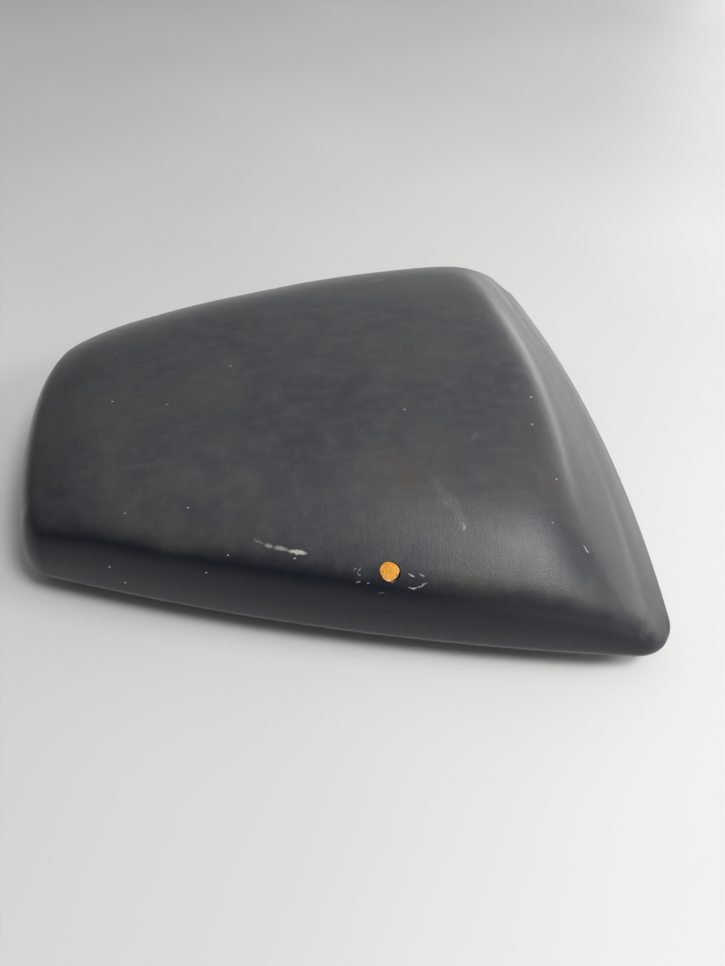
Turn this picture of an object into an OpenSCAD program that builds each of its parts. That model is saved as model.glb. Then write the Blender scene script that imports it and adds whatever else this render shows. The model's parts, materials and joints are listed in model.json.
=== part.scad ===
// Pillion seat pad for a sports motorcycle: a moulded foam cushion on a plastic
// base pan, covered in a black skin that is turned under and stapled.
// X runs from the narrow rear end to the wide front end, Z is up, and the
// rubber buffers stand on Z = 0.

/* [Seat outline] */
// Overall length from the rear edge to the front edge
seat_len = 300; // [280:1:320]
// Width across the wide front end
front_w = 287; // [276:1:300]
// Width across the narrow rear end
rear_w = 150; // [140:1:164]
// Radius of the bowed front edge
front_arc_r = 800; // [650:10:1200]
// Radius of the bowed rear edge
rear_arc_r = 350; // [250:10:600]
// Radius of the bowed long sides
side_arc_r = 1250; // [950:10:1700]
// Radius of the front corners seen from above
front_corner_r = 20; // [16:1:25]
// Radius of the rear corners seen from above
rear_corner_r = 19; // [16:1:24]

/* [Seat height] */
// Height of the top's surface at the side edges of the rear end, before the edge roll
rear_h = 46; // [41:0.5:50]
// Height of the top's surface at the side edges of the front end, before the edge roll
front_h = 37; // [33:0.5:42]
// How far the top swells upward halfway along
bulge_h = 10.5; // [6:0.5:16]
// How far the rear end swells upward from side to side
rear_crown = 8; // [5:0.5:14]
// How far the front end swells upward from side to side
front_crown = 29.5; // [22:0.5:33]

/* [Seat edges] */
// Width of the tight rounding at the rim
rim_w = 14; // [12:0.5:16]
// Width of the soft roll along the sides and the rear
roll_w = 50; // [44:1:56]
// Share of its height that the top loses over the soft roll
roll_drop = 0.26; // [0.2:0.01:0.3]
// Depth of the front face at its middle, from the front edge to the crest
face_w = 37; // [34:0.5:42]
// How much deeper the front face is at its ends
face_flare = 17.5; // [12:0.5:20]
// How far the front face rises from the lip to the crest
face_rise = 35; // [30:0.5:38]
// Height of the lip above the hem
lip_h = 8.4; // [8:0.1:10]
// How much lower the lip is at its ends
lip_fall = 2; // [1:0.1:2.2]
// How far the skin tucks in at the bottom rim
rim_tuck = 3; // [2:0.5:4]

/* [Skin] */
// Thickness of the skin
skin_t = 1.2; // [0.8:0.1:1.4]
// Width of the skin turned under the pan
hem_w = 22; // [18:1:25]
// Diameter of the hole worn through the skin
hole_d = 10; // [7:0.5:12]
// Where the hole is along the seat
hole_x = 15; // [-20:0.5:40]
// How far the hole is in from the seat's edge
hole_in = 11; // [9:0.5:16]

/* [Base pan] */
// Thickness of the pan's flange
plate_t = 2.5; // [2:0.1:2.8]
// Thickness of the raised deck and its walls
deck_t = 2.5; // [2:0.1:3]
// Height of the deck above the flange
deck_rise = 14; // [12:1:16]
// Distance from the seat edge to the deck
deck_inset = 46; // [44:1:50]
// Thickness of the ribs
rib_t = 2; // [1.5:0.1:2.5]
// Depth of the ribs below the deck
rib_h = 4; // [3:0.5:4.5]
// Spacing of the ribs
rib_pitch = 36; // [30:1:44]
// Diameter of the screw bosses
boss_d = 15; // [13:0.5:17]
// Height of the screw bosses
boss_h = 4.5; // [4.5:0.5:6]

/* [Buffers] */
// Height of the hem above the surface that the seat stands on
stand_h = 11; // [10:0.5:14]
// Diameter of the buffers' stems
stem_d = 15; // [13:0.5:15.5]
// Depth of the buffer sockets
socket_h = 4; // [3:0.5:5]
// Wall of the buffer sockets
socket_t = 1.8; // [1.4:0.1:2]
// Distance from the seat edge to the buffers
buffer_inset = 34.5; // [34:0.5:36]

/* [Fittings] */
// Thickness of the pressed steel fittings
steel_t = 2.5; // [2:0.1:3]
// Width of the front tongue's base
tongue_w = 68; // [60:1:74]
// Width of the blade that reaches under the frame
blade_w = 34; // [26:1:44]
// Length of the striker plate across the seat
striker_w = 68; // [64:1:74]
// Width of the striker plate along the seat
striker_l = 26; // [22:1:30]
// Diameter of the striker rod
rod_d = 6; // [5:0.5:7]
// Clear width inside the striker loop
loop_w = 22; // [18:1:24]
// Thread diameter of the screws
screw_d = 6; // [5:1:6]
// Length of the threaded inserts
insert_l = 6; // [5:0.5:6]
// Distance between the two screws of each fitting
screw_pitch = 50; // [48:1:54]

/* [Staples] */
// Width of the staples
staple_w = 10; // [8:0.5:12]
// Thickness of the staple wire
wire_t = 0.8; // [0.6:0.1:1]
// Length of the staple legs
leg_l = 3; // [2.5:0.1:3.2]

/* [Hidden] */
$fn = 48;

// Levels, from the surface upward
hem_z = stand_h;
plate_z = hem_z + skin_t;
plate_top = plate_z + plate_t;
deck_z = plate_z + deck_rise;
deck_top = deck_z + deck_t;
mount_z = deck_z - boss_h;

// Segments of half the outline: front edge, corner, side, corner, rear edge
n_front = 7;
n_corner = 7;
n_side = 14;
n_rear = 4;
half = n_front + 2 * n_corner + n_side + n_rear;
count = 2 * half;
// Rings of the rim's rounding, of the edge inside it, and of the top inside that
rim_rings = 8;
edge_rings = 8;
top_rings = 4;
rings = rim_rings + edge_rings;
edge_w = 58;
// Rings of the skin's inner side below the level of the foam's base, and above it
low_rings = 2;
high_rings = 11;

// Fullness of the rim's rounding, of the soft roll, of the scooped face and of the crest
rim_full = 2.8;
roll_full = 2.2;
scoop_full = 1.4;
crest_full = 8;
// How the rolls of two sides join round a corner
corner_full = 3;
// Where the face starts to rise, inward from the front edge
face_start = 4;
// Height over which the rim tucks in
tuck_h = 6;

// Clearances
pan_clear = 0.4;
foam_clear = 0.3;
socket_clear = 0.1;
screw_clear = 0.3;
insert_clear = 0.05;
rod_clear = 0.05;
leg_clear = 0.05;

function unit(v) = v / norm(v);

// Crossing of two circles, on the left of the line from the first centre to the second
function crossing(a, ra, b, rb) =
    let (
        d = norm(b - a),
        u = (b - a) / d,
        s = (ra * ra - rb * rb + d * d) / (2 * d),
        h = sqrt(ra * ra - s * s)
    )
    a + s * u + h * [-u.y, u.x];

// Centres of the outline's large arcs
front_c = [seat_len / 2 - front_arc_r, 0];
rear_c = [-seat_len / 2 + rear_arc_r, 0];
front_cy = front_w / 2 - front_corner_r;
rear_cy = rear_w / 2 - rear_corner_r;
front_corner_c = [front_c.x + sqrt(pow(front_arc_r - front_corner_r, 2) - pow(front_cy, 2)), front_cy];
rear_corner_c = [rear_c.x - sqrt(pow(rear_arc_r - rear_corner_r, 2) - pow(rear_cy, 2)), rear_cy];
side_c = crossing(front_corner_c, side_arc_r - front_corner_r, rear_corner_c, side_arc_r - rear_corner_r);

// One arc as [point, direction of its normal] entries; first is the first entry's place in its step
function arc(c, r, from, to, n, first) =
    [for (i = [0 : n - 1]) let (a = from + (to - from) * (i + first) / n) [c + r * [cos(a), sin(a)], a]];

function heading(from, to) = let (v = to - from) atan2(v.y, v.x);

// Left half of the outline moved inward, with its own corner radii and steps in each arc
function half_arcs(inset, rf, rr, n, first) =
    let (
        ca = crossing(front_c, front_arc_r - inset - rf, side_c, side_arc_r - inset - rf),
        cb = crossing(side_c, side_arc_r - inset - rr, rear_c, rear_arc_r - inset - rr),
        a1 = heading(front_c, ca),
        a2 = heading(side_c, ca),
        a3 = heading(side_c, cb),
        a4 = heading(rear_c, cb)
    )
    concat(
        arc(front_c, front_arc_r - inset, 0, a1, n[0], first),
        arc(ca, rf, a1, a2, n[1], first),
        arc(side_c, side_arc_r - inset, a2, a3, n[2], first),
        arc(cb, rr, a3, a4, n[3], first),
        arc(rear_c, rear_arc_r - inset, a4, 180, n[4], first)
    );
function half_outline(inset, rf, rr) = concat(
    half_arcs(inset, rf, rr, [n_front, n_corner, n_side, n_corner, n_rear], 0),
    [[rear_c - [rear_arc_r - inset, 0], 180]]);

function mirrored(p) = [p.x, -p.y];

// Whole outline as points
function outline(inset, rf, rr) =
    let (h = half_outline(inset, rf, rr))
    concat([for (e = h) e[0]], [for (i = [half - 1 : -1 : 1]) mirrored(h[i][0])]);

edge = half_outline(0, front_corner_r, rear_corner_r);

// The rings of the top close on a spine along the middle of the seat
spine_front = seat_len / 2 - 0.45 * front_w;
spine_rear = -seat_len / 2 + 0.5 * rear_w;
function spine_step(i) = min(max(i - n_front - n_corner, 0), n_side);
function spine_x(i) = spine_front + (spine_rear - spine_front) * spine_step(i) / n_side;

// Height of the top, before its edges roll down
function top_z(p) =
    let (
        t = p.x / seat_len + 0.5,
        w = (rear_w + (front_w - rear_w) * t) / 2,
        crown = rear_crown + (front_crown - rear_crown) * t
    )
    rear_h + (front_h - rear_h) * t + 4 * bulge_h * t * (1 - t) + crown * (1 - pow(p.y / w, 2));

// How near a place is to an edge: 1 on the edge and 0 where the roll ends
function nearness(d) = max(1 - max(d, 0) / roll_w, 0);

// Height above the hem of the top with its rolls, and of the scooped front face
function rolled_top(p) =
    let (
        side = nearness(side_arc_r - norm(p - side_c)),
        rear = nearness(rear_arc_r - norm(p - rear_c)),
        near = pow(pow(side, corner_full) + pow(rear, corner_full), 1 / corner_full)
    )
    (top_z(p) - hem_z) * (1 - roll_drop * pow(near, roll_full));
function front_face(p) =
    let (
        spread = pow(2 * p.y / front_w, 2),
        d = max(front_arc_r - norm(p - front_c) - face_start, 0),
        w = face_w + face_flare * spread - face_start
    )
    lip_h - lip_fall * spread + face_rise * pow(d / w, scoop_full);

// The lower of the two, with a soft crest where they meet
function body_h(p) =
    let (a = rolled_top(p), b = front_face(p))
    a * b / pow(pow(a, crest_full) + pow(b, crest_full), 1 / crest_full);

// Height and inward step of the rim's rounding
function rim_share(d) = pow(1 - pow(max(1 - d / rim_w, 0), rim_full), 1 / rim_full);
function inward_step(k) = k <= rim_rings
    ? rim_w * (1 - pow(cos(90 * pow(k / rim_rings, 1.5)), 2 / rim_full))
    : rim_w + (edge_w - rim_w) * (k - rim_rings) / edge_rings;

// Line from an outline point to the spine, and how steeply it leaves the edge
function normal(i) = [cos(edge[i][1]), sin(edge[i][1])];
function to_spine(i) = [spine_x(i), 0] - edge[i][0];
function leaving(i) = -(to_spine(i) * normal(i));
function between(i, from, to) = leaving(from) + (leaving(to) - leaving(from)) * (i - from) / (to - from);
front_corner_end = n_front + n_corner;
rear_corner_start = front_corner_end + n_side;
function even_leaving(i) =
    i > n_front && i < front_corner_end ? between(i, n_front, front_corner_end)
    : i > rear_corner_start && i < rear_corner_start + n_corner
    ? between(i, rear_corner_start, rear_corner_start + n_corner)
    : leaving(i);

// Point of the outer surface: i along half the outline, k up the rim, along the edge and over the top
function surface_point(i, k) =
    let (
        reach = inward_step(min(k, rings)) / even_leaving(i),
        over = max(k - rings, 0) / top_rings,
        share = reach + (1 - reach) * over,
        p = edge[i][0] + share * to_spine(i),
        h = rim_share(share * leaving(i)) * body_h(p),
        q = p - rim_tuck * pow(max(1 - h / tuck_h, 0), 2) * normal(i)
    )
    [q.x, q.y, hem_z + h];

levels = rings + top_rings;
half_grid = [for (i = [0 : half]) [for (k = [0 : levels - 1]) surface_point(i, k)]];
function flipped(c) = [for (p = c) [p.x, -p.y, p.z]];
grid = concat(half_grid, [for (i = [half - 1 : -1 : 1]) flipped(half_grid[i])]);

// Direction out of the surface, from its neighbours in the grid
function outward(j, k) =
    let (
        a = grid[(j + 1) % count][k] - grid[(j + count - 1) % count][k],
        b = grid[j][min(k + 1, levels - 1)] - grid[j][max(k - 1, 0)]
    )
    unit(cross(a, b));

// The same surface moved inward by the skin's thickness, flat where it lies on the pan
offset_grid = [for (j = [0 : count - 1]) [for (k = [0 : levels - 1])
    let (p = grid[j][k] - skin_t * outward(j, k)) [p.x, p.y, max(p.z, plate_z)]]];

// A column's point at a whole or broken ring number, and the ring number where it reaches a height
function along(c, k) = let (i = min(floor(k), len(c) - 2)) c[i] + (k - i) * (c[i + 1] - c[i]);
function ring_at(c, z, k) =
    c[k - 1].z < z
        ? k - 1 + (z - c[k - 1].z) / (c[k].z - c[k - 1].z)
        : ring_at(c, z, k - 1);

// Inner side with a ring at the level of the foam's base: the foam has the same points from there up
inner = [for (c = offset_grid)
    let (rest = ring_at(c, plate_top, rings))
    concat(
        [for (i = [0 : low_rings - 1]) along(c, rest * i / low_rings)],
        [for (i = [0 : high_rings - 1]) along(c, rest + (rings - rest) * i / high_rings)],
        [for (k = [rings : levels - 1]) c[k]]
    )];
inner_levels = len(inner[0]);

function spine(t) = [for (i = [0 : n_side])
    let (
        x = spine_front + (spine_rear - spine_front) * i / n_side,
        rise = body_h([x + 1, 0]) - body_h([x - 1, 0]),
        n = unit([-rise / 2, 0, 1])
    )
    [x, 0, hem_z + body_h([x, 0])] - t * n];
function spine_of(j) = spine_step(min(j, count - j));

hem_corner_r = 8;
hem_ring = outline(hem_w, hem_corner_r, hem_corner_r);

// Faces: rings of count points joined in strips, seen from outside, then closed on the spine
function strip(k) = [for (j = [0 : count - 1])
    let (n = (j + 1) % count, a = k * count, b = a + count)
    each [[a + j, b + j, b + n], [a + j, b + n, a + n]]];
function closing(k, s) = [for (j = [0 : count - 1])
    let (n = (j + 1) % count, a = k * count, p = s + spine_of(j), q = s + spine_of(n))
    each p == q ? [[a + j, p, a + n]] : [[a + j, p, q], [a + j, q, a + n]]];
function dome(full) = concat([for (k = [0 : full - 1]) each strip(k)], closing(full, (full + 1) * count));
function reversed(faces) = [for (f = faces) [f[0], f[2], f[1]]];
function shifted(faces, by) = [for (f = faces) [for (v = f) v + by]];
function ring_points(g, from, to) = [for (k = [from : to - 1]) for (j = [0 : count - 1]) g[j][k]];

// Skin: outside and inside surfaces joined round the inner edge of the hem
module skin_shell() {
    outer_points = concat([for (p = hem_ring) [p.x, p.y, hem_z]], ring_points(grid, 0, levels), spine(0));
    inner_points = concat([for (p = hem_ring) [p.x, p.y, plate_z]],
        ring_points(inner, 0, inner_levels), spine(skin_t));
    n = len(outer_points);
    edge_faces = [for (j = [0 : count - 1]) let (m = (j + 1) % count)
        each [[j, m, n + m], [j, n + m, n + j]]];
    polyhedron(concat(outer_points, inner_points),
        concat(dome(levels), shifted(reversed(dome(inner_levels)), n), edge_faces), convexity = 6);
}

// Half the width of the outline along its side, moved inward
function side_y(x, inset) = side_c.y + sqrt(pow(side_arc_r - inset, 2) - pow(x - side_c.x, 2));

// The worn hole is on the right-hand roll; its axis starts inside the foam and leans outward
hole_slant = 35;
hole_turn = -11;
hole_depth = 18;
module hole_bore() {
    y = side_y(hole_x, hole_in);
    translate([hole_x, -y, hem_z + rim_share(hole_in) * body_h([hole_x, y])])
        rotate([hole_slant, 0, hole_turn])
            translate([0, 0, -hole_depth]) cylinder(d = hole_d, h = 1.5 * hole_depth);
}

module cover_skin() {
    color("#1b1c1f")
    difference() {
        skin_shell();
        hole_bore();
        staple_holes();
    }
}

// Foam: the inside of the skin, flat on the flange, hollowed for the deck
module foam_pad() {
    pocket = outline(deck_inset - foam_clear, deck_front_r + foam_clear, deck_rear_r + foam_clear);
    ceiling = [for (p = pocket) [p.x, p.y, deck_top + foam_clear]];
    mouth = [for (p = pocket) [p.x, p.y, plate_top]];
    points = concat(ceiling, mouth, ring_points(inner, low_rings, inner_levels), spine(skin_t));
    color("#e6963c")
    polyhedron(points, concat([[for (j = [0 : count - 1]) j]], dome(inner_levels - low_rings + 1)),
        convexity = 6);
}

// Base pan
deck_front_r = 18;
deck_rear_r = 14;
pan_inset = rim_tuck + skin_t + pan_clear;
drain_d = 5;
insert_d = screw_d + 2;
insert_hole = deck_z - mount_z + deck_t - 1;

module slab(z, h, inset, rf, rr) {
    translate([0, 0, z]) linear_extrude(h) polygon(outline(inset, rf, rr));
}

module deck_solid(z, h, more) {
    slab(z, h, deck_inset + more, deck_front_r - more, deck_rear_r - more);
}

module each_screw(x) {
    for (s = [-1, 1]) translate([x, s * screw_pitch / 2, 0]) children();
}

module fitting_bosses(x) {
    each_screw(x) translate([0, 0, mount_z]) cylinder(d = boss_d, h = boss_h + deck_t / 2);
}

module fitting_holes(x) {
    each_screw(x) translate([0, 0, mount_z - 1])
        cylinder(d = insert_d + 2 * insert_clear, h = insert_hole + 1);
}

module ribs() {
    reach = floor(seat_len / 2 / rib_pitch);
    intersection() {
        deck_solid(deck_z - rib_h, rib_h + deck_t / 2, deck_t / 2);
        union() {
            for (i = [-reach : reach]) {
                translate([i * rib_pitch - rib_t / 2, -front_w / 2, deck_z - rib_h])
                    cube([rib_t, front_w, rib_h + deck_t]);
                translate([-seat_len / 2, i * rib_pitch - rib_t / 2, deck_z - rib_h])
                    cube([seat_len, rib_t, rib_h + deck_t]);
            }
        }
    }
}

// Buffers sit along the sides, inward from the edge
front_buffer_x = seat_len / 2 - 60;
mid_buffer_x = 0;
rear_buffer_x = -seat_len / 2 + 40;
function buffer_at(x, s) = [x, s * side_y(x, buffer_inset), 0];
buffer_places = [for (x = [front_buffer_x, mid_buffer_x, rear_buffer_x]) for (s = [-1, 1]) buffer_at(x, s)];
socket_d = stem_d + 2 * socket_clear;

module base_pan() {
    color("#202124")
    difference() {
        union() {
            difference() {
                union() {
                    slab(plate_z, plate_t, pan_inset, front_corner_r - pan_inset, rear_corner_r - pan_inset);
                    deck_solid(plate_z, deck_rise + deck_t, 0);
                }
                deck_solid(plate_z - 1, deck_rise + 1, deck_t);
            }
            ribs();
            fitting_bosses(tongue_x);
            fitting_bosses(striker_x);
            for (p = buffer_places)
                translate(p + [0, 0, plate_z - socket_h]) cylinder(d = socket_d + 2 * socket_t, h = socket_h);
        }
        fitting_holes(tongue_x);
        fitting_holes(striker_x);
        for (p = buffer_places)
            translate(p + [0, 0, plate_z - socket_h - 1]) cylinder(d = socket_d, h = socket_h + 1);
        for (x = [-1.5, 1.5]) for (s = [-1, 1])
            translate([x * rib_pitch, s * rib_pitch / 2, deck_z - 1]) cylinder(d = drain_d, h = deck_t + 2);
        staple_holes();
    }
}

// Buffers
pad_lip = 1.6;
module buffer(p) {
    pad_top = plate_z - socket_h;
    pad_r = stem_d / 2 + pad_lip;
    color("#161617")
    translate(p) rotate_extrude()
        polygon([[2.5, 3], [2.5, 0.4], [2.9, 0], [pad_r - 2, 0], [pad_r, 2.5], [pad_r, pad_top],
            [stem_d / 2, pad_top], [stem_d / 2, plate_z], [0, plate_z], [0, 3]]);
}

// Fittings: where the two screws of each one are
tongue_x = seat_len / 2 - deck_inset - 35;
striker_x = -seat_len / 2 + deck_inset + 30;
plate_hole_d = screw_d + 2 * screw_clear;
fit_z = mount_z - steel_t;
blade_z = 1;
blade_end = seat_len / 2 - 12;
tongue_edge = tongue_x + 10;
step_run = 9;
washer_t = 1.6;
head_h = 4;
head_af = screw_d * 5 / 3;

// Tongue: a strip with a step down to the blade, cut to shape from above
module front_tongue() {
    steps = [[tongue_x - 12, mount_z], [tongue_edge, mount_z], [tongue_edge + step_run, blade_z + steel_t],
        [blade_end, blade_z + steel_t], [blade_end, blade_z],
        [tongue_edge + step_run - steel_t / 2, blade_z], [tongue_edge - steel_t / 2, fit_z],
        [tongue_x - 12, fit_z]];
    color("#a8abae")
    difference() {
        intersection() {
            rotate([90, 0, 0]) linear_extrude(tongue_w, center = true) polygon(steps);
            linear_extrude(seat_len) hull() {
                for (s = [-1, 1]) {
                    translate([tongue_x - 6, s * (tongue_w / 2 - 6)]) circle(r = 6);
                    translate([tongue_x + 4, s * (tongue_w / 2 - 6)]) circle(r = 6);
                    translate([blade_end - 6, s * (blade_w / 2 - 6)]) circle(r = 6);
                }
            }
        }
        each_screw(tongue_x) cylinder(d = plate_hole_d, h = deck_z);
        translate([tongue_x, 0, 0]) cylinder(d = 14, h = deck_z);
    }
}

module washer(x) {
    each_screw(x) translate([0, 0, fit_z - washer_t]) difference() {
        cylinder(d = 2 * screw_d, h = washer_t);
        translate([0, 0, -1]) cylinder(d = plate_hole_d, h = washer_t + 2);
    }
}

module screw(x) {
    head_top = fit_z - washer_t;
    each_screw(x) difference() {
        union() {
            translate([0, 0, head_top - head_h]) cylinder(d = head_af / cos(30), h = head_h, $fn = 6);
            translate([0, 0, head_top - 1]) cylinder(d = screw_d * 1.9, h = 1);
            translate([0, 0, head_top]) cylinder(d = screw_d, h = mount_z + insert_l - head_top);
        }
        translate([0, 0, head_top - head_h - 1]) cylinder(d = head_af * 0.55, h = 1.8);
    }
}

module insert(x) {
    each_screw(x) translate([0, 0, mount_z + insert_hole - insert_l]) difference() {
        cylinder(d = insert_d, h = insert_l);
        translate([0, 0, -1]) cylinder(d = screw_d + 2 * insert_clear, h = insert_l + 2);
    }
}

module tongue_washers() { color("#c9c7bf") washer(tongue_x); }
module tongue_screws() { color("#b9b7ae") screw(tongue_x); }
module tongue_inserts() { color("#c8a24c") insert(tongue_x); }
module striker_washers() { color("#c9c7bf") washer(striker_x); }
module striker_screws() { color("#b9b7ae") screw(striker_x); }
module striker_inserts() { color("#c8a24c") insert(striker_x); }

// Striker: a plate that carries a bent rod
loop_z = 1.5;
bend_r = rod_d;
module striker_plate() {
    color("#a8abae")
    difference() {
        translate([striker_x, 0, fit_z]) linear_extrude(steel_t) hull()
            for (x = [-1, 1]) for (y = [-1, 1])
                translate([x * (striker_l / 2 - 5), y * (striker_w / 2 - 5)]) circle(r = 5);
        each_screw(striker_x) cylinder(d = plate_hole_d, h = deck_z);
        for (s = [-1, 1]) translate([striker_x, s * (loop_w + rod_d) / 2, 0])
            cylinder(d = rod_d + 2 * rod_clear, h = deck_z);
    }
}

module striker_loop() {
    leg_y = (loop_w + rod_d) / 2;
    low_z = loop_z + rod_d / 2;
    color("#d0d0cc")
    translate([striker_x, 0, 0]) {
        for (s = [-1, 1]) {
            translate([0, s * leg_y, low_z + bend_r]) cylinder(d = rod_d, h = mount_z - low_z - bend_r);
            translate([0, s * (leg_y - bend_r), low_z + bend_r]) rotate([0, 90, 0])
                rotate([0, 0, s > 0 ? 0 : -90])
                    rotate_extrude(angle = 90) translate([bend_r, 0]) circle(d = rod_d);
        }
        translate([0, leg_y - bend_r, low_z]) rotate([90, 0, 0])
            cylinder(d = rod_d, h = 2 * (leg_y - bend_r));
    }
}

// Staples along the hem, one for each place in the list of [outline point, direction]
staple_inset = 14;
staple_steps = [3, 1, 9, 1, 2];
staple_row = half_arcs(staple_inset, front_corner_r - staple_inset, rear_corner_r - staple_inset,
    staple_steps, 0.5);
module staple_at(e) {
    for (s = [0, 1]) mirror([0, s, 0])
        translate([e[0].x, e[0].y, 0]) rotate(e[1] + 90) children();
}

module legs(more) {
    for (x = [-1, 1])
        translate([x * (staple_w - wire_t) / 2 - wire_t / 2 - more, -wire_t / 2 - more, hem_z - more])
        cube([wire_t + 2 * more, wire_t + 2 * more, leg_l + more]);
}

module staple_holes() {
    for (e = staple_row) staple_at(e) legs(leg_clear);
}

module cover_staples() {
    color("#b4b6b8")
    for (e = staple_row) staple_at(e) {
        translate([-staple_w / 2, -wire_t / 2, hem_z - wire_t]) cube([staple_w, wire_t, wire_t]);
        legs(0);
    }
}

cover_skin();
foam_pad();
base_pan();
cover_staples();
front_tongue();
tongue_washers();
tongue_screws();
tongue_inserts();
striker_plate();
striker_loop();
striker_washers();
striker_screws();
striker_inserts();
buffer(buffer_at(front_buffer_x, 1));  // buffer_front_left
buffer(buffer_at(front_buffer_x, -1));  // buffer_front_right
buffer(buffer_at(mid_buffer_x, 1));  // buffer_mid_left
buffer(buffer_at(mid_buffer_x, -1));  // buffer_mid_right
buffer(buffer_at(rear_buffer_x, 1));  // buffer_rear_left
buffer(buffer_at(rear_buffer_x, -1));  // buffer_rear_right
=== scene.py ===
# %% [markdown]
# A motorcycle pillion seat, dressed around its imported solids.
# The real one is a moulded foam pad under a black vinyl skin, stapled to a plastic pan. The skin is
# all that the photograph shows, so most of the work is its form, its worn finish and its one hole.
# The solids come in first, and everything below is placed from them.

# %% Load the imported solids
import bpy
import json
import math
from mathutils import Matrix, Vector, noise
from mathutils.bvhtree import BVHTree


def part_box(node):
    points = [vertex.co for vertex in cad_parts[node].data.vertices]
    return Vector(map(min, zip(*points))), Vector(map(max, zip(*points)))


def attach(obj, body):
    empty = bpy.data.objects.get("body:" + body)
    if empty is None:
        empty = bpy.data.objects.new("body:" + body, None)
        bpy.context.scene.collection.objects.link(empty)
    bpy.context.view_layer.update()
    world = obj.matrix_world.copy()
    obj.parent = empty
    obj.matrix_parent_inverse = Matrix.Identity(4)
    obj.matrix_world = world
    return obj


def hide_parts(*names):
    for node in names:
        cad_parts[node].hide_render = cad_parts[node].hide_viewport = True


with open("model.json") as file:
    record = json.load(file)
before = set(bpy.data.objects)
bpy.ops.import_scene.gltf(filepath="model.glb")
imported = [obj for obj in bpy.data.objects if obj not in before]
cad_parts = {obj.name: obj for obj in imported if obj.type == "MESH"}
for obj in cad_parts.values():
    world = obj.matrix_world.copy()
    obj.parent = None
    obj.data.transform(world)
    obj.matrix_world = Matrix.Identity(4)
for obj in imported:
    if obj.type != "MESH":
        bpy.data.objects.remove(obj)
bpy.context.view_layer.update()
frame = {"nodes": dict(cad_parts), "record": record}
nodes = frame["nodes"]
mm = 0.001

# %% [markdown]
# Colours are written as sRGB hex values, because that is how a maker reads them off a sample card.
# Blender's shaders work in linear light, so one function turns the one into the other.

# %% Helpers for colours, selection and nodes
def colour(text):
    channels = [int(text[i:i + 2], 16) / 255 for i in (1, 3, 5)]
    linear = [c / 12.92 if c <= 0.04045 else ((c + 0.055) / 1.055) ** 2.4 for c in channels]
    return (*linear, 1.0)


def deselect():
    bpy.ops.object.select_all(action="DESELECT")
    bpy.context.view_layer.objects.active = None


def pick(obj):
    deselect()
    obj.select_set(True)
    bpy.context.view_layer.objects.active = obj


def add(tree, kind, inputs=None, **settings):
    """Adds a shader node with its settings; inputs are values or other nodes' outputs."""
    node = tree.nodes.new(kind)
    for name, value in settings.items():
        setattr(node, name, value)
    for key, value in (inputs or {}).items():
        if isinstance(value, bpy.types.NodeSocket):
            tree.links.new(value, node.inputs[key])
        else:
            node.inputs[key].default_value = value
    return node


def ramp(tree, fac, stops):
    """A colour ramp with the given (place, colour) stops."""
    node = add(tree, "ShaderNodeValToRGB", {"Fac": fac})
    marks = node.color_ramp.elements
    while len(marks) < len(stops):
        marks.new(0.5)
    for mark, (place, shade) in zip(marks, stops):
        mark.position = place
        mark.color = colour(shade) if isinstance(shade, str) else (shade, shade, shade, 1)
    return node.outputs["Color"]


def new_material(name):
    material = bpy.data.materials.new(name)
    material.use_nodes = True
    tree = material.node_tree
    shader = tree.nodes["Principled BSDF"]
    coords = add(tree, "ShaderNodeTexCoord").outputs["Object"]
    return material, tree, shader, coords


def grain(tree, coords, size, detail=2.0, roughness=0.5):
    """Noise whose blotches are about size metres across."""
    settings = {"Vector": coords, "Scale": 1 / size, "Detail": detail, "Roughness": roughness}
    return add(tree, "ShaderNodeTexNoise", settings).outputs["Fac"]


def bump(tree, height, depth, under=None):
    """A bump of the given depth in metres, over another bump if one is given."""
    settings = {"Height": height, "Strength": 1.0, "Distance": depth}
    if under is not None:
        settings["Normal"] = under
    return add(tree, "ShaderNodeBump", settings).outputs["Normal"]


# %% [markdown]
# The camera is a phone's wide lens held close over the near side of the seat. Its place was found by
# fitting the outline of the seat to the photograph, so it is written as that fit's few real values:
# how far away it is, how it is turned, and which point it looks near.

# %% Camera
view_pitch = 47.202
view_yaw = 9.054
view_roll = 2.163
view_depth = 371.109 * mm
focal_px = 726
photo_w, photo_h = 725, 966
aim_px = (326.922, 406.363)
aim_point = Vector((0, 0, 40 * mm))
sensor = 36

pitch, yaw, roll = (math.radians(a) for a in (view_pitch, view_yaw, view_roll))
forward = Vector((math.sin(yaw) * math.cos(pitch), math.cos(yaw) * math.cos(pitch), -math.sin(pitch)))
right = Vector((math.cos(yaw), -math.sin(yaw), 0))
down = forward.cross(right)
across = math.cos(roll) * right - math.sin(roll) * down
below = math.sin(roll) * right + math.cos(roll) * down
side_shift = (aim_px[0] - photo_w / 2) / focal_px * view_depth
down_shift = (aim_px[1] - photo_h / 2) / focal_px * view_depth

camera_data = bpy.data.cameras.new("photo_camera")
camera_data.sensor_width = sensor
camera_data.lens = focal_px / photo_h * sensor
camera_data.clip_start = 0.01
camera = bpy.data.objects.new("photo_camera", camera_data)
bpy.context.scene.collection.objects.link(camera)
eye = aim_point - across * side_shift - below * down_shift - forward * view_depth
camera.matrix_world = Matrix.Translation(eye) @ Matrix((across, -below, -forward)).transposed().to_4x4()
bpy.context.scene.camera = camera
print("camera at", [round(v, 3) for v in eye])

# %% [markdown]
# The photograph's light is a pale room with its bright side to the right. The floor is a painted table
# top, and the sky is a grey that grows lighter towards the right, the back and the top, so that the
# left of the seat mirrors the dark side of the room.

# %% Floor
floor_size = 6.0
blotch_w = 0.3
deselect()
bpy.ops.mesh.primitive_plane_add(size=floor_size, location=(0, 0, 0))
floor = bpy.context.active_object
floor.name = "floor"

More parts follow.
